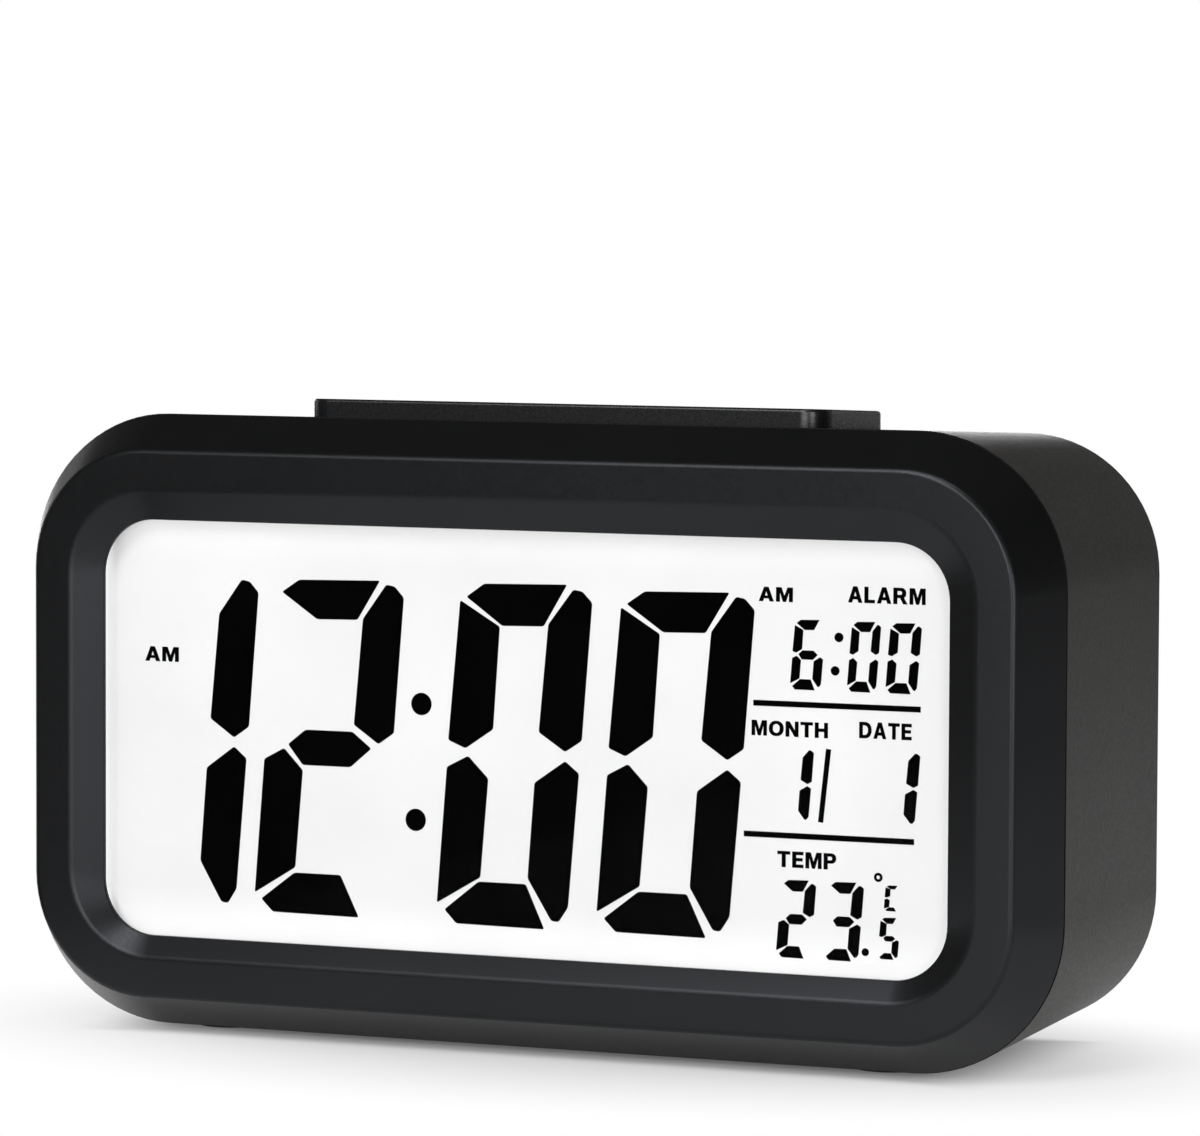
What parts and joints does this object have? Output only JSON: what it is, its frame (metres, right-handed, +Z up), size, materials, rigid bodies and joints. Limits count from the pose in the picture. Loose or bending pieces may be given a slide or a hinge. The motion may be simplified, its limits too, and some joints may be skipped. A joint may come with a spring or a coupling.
{
  "type": "digital alarm clock",
  "caption": "Boxy upright digital alarm clock with a wide display in a sloped frame, a long press bar on top, rear keys and a hinged battery door.",
  "frame": {"origin": "on the surface the feet stand on, under the middle of the clock's width and depth", "axes": "+X to the right of someone facing the display, -Y out of the display, +Z up"},
  "size_m": [0.135, 0.0458, 0.0774],
  "materials": {
    "frame_plastic": "fine matte moulding",
    "shell_plastic": "fine matte moulding",
    "bar_plastic": "fine matte moulding",
    "key_plastic": "satin moulding",
    "window_clear": "clear polished sheet",
    "display_glass": "polarised display glass",
    "segment_ink": "dark segments of the display",
    "mark_ink": "pale printed signs",
    "guide_clear": "clear acrylic",
    "tray_white": "white moulding",
    "led_resin": "clear resin",
    "strip_rubber": "layered silicone",
    "board_green": "solder mask",
    "black_resin": "potting resin",
    "can_metal": "drawn can",
    "sleeve_blue": "shrunk sleeve",
    "screw_steel": "zinc plated",
    "switch_plastic": "moulding",
    "stem_plastic": "moulding",
    "disc_brass": "bright sheet",
    "ceramic_white": "silvered ceramic",
    "cell_sleeve": "printed sleeve, plain",
    "contact_metal": "nickel plated",
    "ribbon_grey": "flat ribbon of leads",
    "lead_red": "soft sleeve",
    "lead_black": "soft sleeve",
    "foot_rubber": "matte rubber"
  },
  "bodies": {
    "case": {"front_frame": "frame_plastic", "display_window": "window_clear", "lcd_panel": "display_glass", "light_guide": "guide_clear", "backlight_tray": "tray_white", "backlight_leds": "led_resin", "zebra_strips": "strip_rubber", "main_board": "board_green", "control_chip": "black_resin", "crystal": "can_metal", "capacitors": "sleeve_blue", "thermistor": "black_resin", "board_screws": "screw_steel", "snooze_switch": "switch_plastic", "rear_shell": "shell_plastic", "key_board": "board_green", "key_switches": "switch_plastic", "key_board_screws": "screw_steel", "sounder_disc": "disc_brass", "sounder_ceramic": "ceramic_white", "cell_top": "cell_sleeve", "cell_middle": "cell_sleeve", "cell_bottom": "cell_sleeve", "cell_springs": "contact_metal", "cell_contacts": "contact_metal", "case_screws": "screw_steel", "key_ribbon": "ribbon_grey", "battery_lead_plus": "lead_red", "battery_lead_minus": "lead_black", "sounder_lead_disc": "lead_black", "sounder_lead_ceramic": "lead_red", "foot_front_left": "foot_rubber", "foot_front_right": "foot_rubber", "foot_rear_left": "foot_rubber", "foot_rear_right": "foot_rubber"},
    "snooze_bar": {"snooze_bar": "bar_plastic", "snooze_stem": "stem_plastic"},
    "battery_door": {"battery_door": "shell_plastic"},
    "time_key": {"time_key": "key_plastic", "time_stem": "stem_plastic"},
    "alarm_key": {"alarm_key": "key_plastic", "alarm_stem": "stem_plastic"},
    "up_key": {"up_key": "key_plastic", "up_stem": "stem_plastic"},
    "down_key": {"down_key": "key_plastic", "down_stem": "stem_plastic"}
  },
  "joints": [
    {"name": "snooze_press", "type": "slide", "parent": "case", "child": "snooze_bar", "axis": [0, 0, -1], "range_m": [0, 0.0012], "stiffness_N_per_m": 600, "springref_m": -0.0008},
    {"name": "battery_door_hinge", "type": "hinge", "parent": "case", "child": "battery_door", "pos_m": [0, 0.021, 0.0116], "axis": [-1, 0, 0], "range_deg": [0, 95]},
    {"name": "time_key_press", "type": "slide", "parent": "case", "child": "time_key", "axis": [0, -1, 0], "range_m": [0, 0.0006], "stiffness_N_per_m": 900, "springref_m": -0.0006},
    {"name": "alarm_key_press", "type": "slide", "parent": "case", "child": "alarm_key", "axis": [0, -1, 0], "range_m": [0, 0.0006], "stiffness_N_per_m": 900, "springref_m": -0.0006},
    {"name": "up_key_press", "type": "slide", "parent": "case", "child": "up_key", "axis": [0, -1, 0], "range_m": [0, 0.0006], "stiffness_N_per_m": 900, "springref_m": -0.0006},
    {"name": "down_key_press", "type": "slide", "parent": "case", "child": "down_key", "axis": [0, -1, 0], "range_m": [0, 0.0006], "stiffness_N_per_m": 900, "springref_m": -0.0006}
  ]
}
